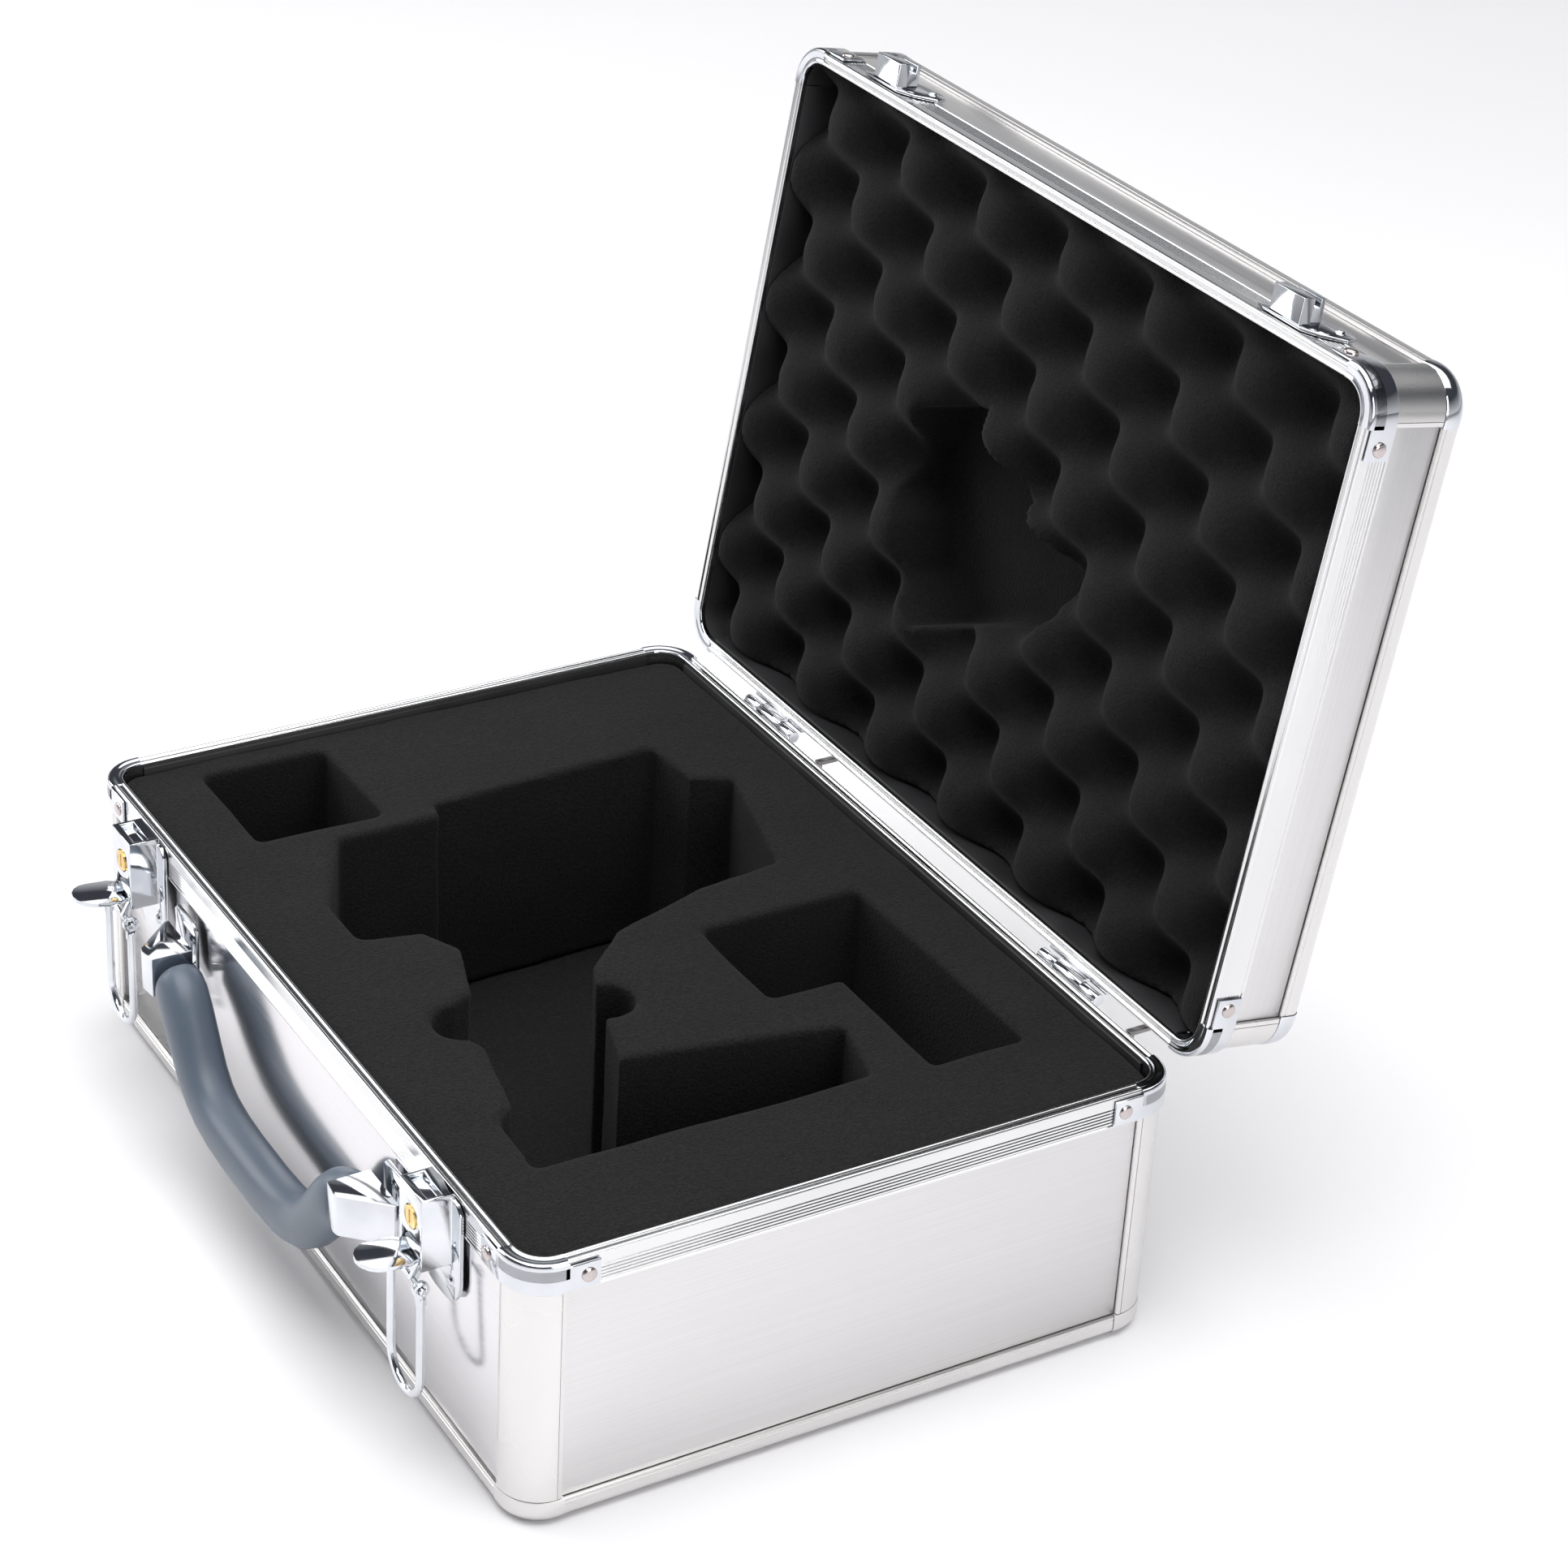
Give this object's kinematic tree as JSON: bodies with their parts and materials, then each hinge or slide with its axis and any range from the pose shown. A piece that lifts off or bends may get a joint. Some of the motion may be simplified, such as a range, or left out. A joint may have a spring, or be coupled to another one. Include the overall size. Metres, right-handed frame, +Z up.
{
  "type": "aluminium instrument case",
  "caption": "Aluminium-framed carry case with an open hinged lid, cut foam in the base, egg-crate foam in the lid, draw latches and a swinging handle.",
  "frame": {"origin": "middle of the underside of the base", "axes": "+Z up, +X along the hinge line to the viewer's right when the latches face the viewer, -Y towards the latches and the handle; rest pose is the lid open on its stops"},
  "size_m": [0.3444, 0.3509, 0.3459],
  "materials": {
    "brushed_aluminium": "brushed",
    "satin_aluminium": "satin",
    "chrome": "polished",
    "dark_steel": "satin",
    "brass": "polished",
    "black_foam": "matt open-cell foam",
    "blue_grey_plastic": "satin"
  },
  "bodies": {
    "base": {"base_back_panel": "brushed_aluminium", "base_bottom_panel": "brushed_aluminium", "base_edge_frame": "satin_aluminium", "base_foam_block": "black_foam", "base_foam_pad": "black_foam", "base_front_panel": "brushed_aluminium", "base_left_panel": "brushed_aluminium", "base_post_back_left": "satin_aluminium", "base_post_back_right": "satin_aluminium", "base_post_front_left": "satin_aluminium", "base_post_front_right": "satin_aluminium", "base_right_panel": "brushed_aluminium", "base_rim_back": "satin_aluminium", "base_rim_clip_back_left": "chrome", "base_rim_clip_back_right": "chrome", "base_rim_clip_front_left": "chrome", "base_rim_clip_front_right": "chrome", "base_rim_front": "satin_aluminium", "base_rim_left": "satin_aluminium", "base_rim_right": "satin_aluminium", "handle_bracket_left": "chrome", "handle_bracket_right": "chrome", "hinge_base_leaf_left": "chrome", "hinge_base_leaf_right": "chrome", "latch_plate_left": "chrome", "latch_plate_right": "chrome", "stop_bar_left": "dark_steel", "stop_bar_right": "dark_steel"},
    "lid": {"hinge_lid_leaf_left": "chrome", "hinge_lid_leaf_right": "chrome", "latch_catch_left": "chrome", "latch_catch_right": "chrome", "lid_back_panel": "brushed_aluminium", "lid_edge_frame": "satin_aluminium", "lid_foam": "black_foam", "lid_front_panel": "brushed_aluminium", "lid_left_panel": "brushed_aluminium", "lid_post_back_left": "satin_aluminium", "lid_post_back_right": "satin_aluminium", "lid_post_front_left": "satin_aluminium", "lid_post_front_right": "satin_aluminium", "lid_right_panel": "brushed_aluminium", "lid_rim_back": "satin_aluminium", "lid_rim_clip_back_left": "chrome", "lid_rim_clip_back_right": "chrome", "lid_rim_clip_front_left": "chrome", "lid_rim_clip_front_right": "chrome", "lid_rim_front": "satin_aluminium", "lid_rim_left": "satin_aluminium", "lid_rim_right": "satin_aluminium", "lid_top_panel": "brushed_aluminium"},
    "handle": {"handle_arm_left": "chrome", "handle_arm_right": "chrome", "handle_grip": "blue_grey_plastic"},
    "key_cylinder_left": {"key_cylinder_left": "brass"},
    "key_cylinder_right": {"key_cylinder_right": "brass"},
    "latch_bail_left": {"latch_bail_left": "chrome"},
    "latch_bail_right": {"latch_bail_right": "chrome"},
    "latch_lever_left": {"latch_lever_left": "chrome"},
    "latch_lever_right": {"latch_lever_right": "chrome"}
  },
  "joints": [
    {"name": "lid_hinge", "type": "hinge", "parent": "base", "child": "lid", "pos_m": [0, 0.12255, 0.0981], "axis": [1, 0, 0], "range_deg": [0, 99]},
    {"name": "latch_lever_left", "type": "hinge", "parent": "base", "child": "latch_lever_left", "pos_m": [-0.118, -0.12875, 0.078], "axis": [-1, 0, 0], "range_deg": [0, 40]},
    {"name": "latch_bail_left", "type": "hinge", "parent": "latch_lever_left", "child": "latch_bail_left", "pos_m": [-0.118, -0.13275, 0.0707], "axis": [1, 0, 0], "range_deg": [-187, 12]},
    {"name": "key_left", "type": "hinge", "parent": "base", "child": "key_cylinder_left", "pos_m": [-0.118, -0.13125, 0.0907], "axis": [0, -1, 0], "range_deg": [0, 90]},
    {"name": "latch_lever_right", "type": "hinge", "parent": "base", "child": "latch_lever_right", "pos_m": [0.118, -0.12875, 0.078], "axis": [-1, 0, 0], "range_deg": [0, 40]},
    {"name": "latch_bail_right", "type": "hinge", "parent": "latch_lever_right", "child": "latch_bail_right", "pos_m": [0.118, -0.13275, 0.0707], "axis": [1, 0, 0], "range_deg": [-187, 12]},
    {"name": "key_right", "type": "hinge", "parent": "base", "child": "key_cylinder_right", "pos_m": [0.118, -0.13125, 0.0907], "axis": [0, -1, 0], "range_deg": [0, 90]},
    {"name": "handle_hinge", "type": "hinge", "parent": "base", "child": "handle", "pos_m": [0, -0.12725, 0.0725], "axis": [1, 0, 0], "range_deg": [-97, 0]}
  ]
}
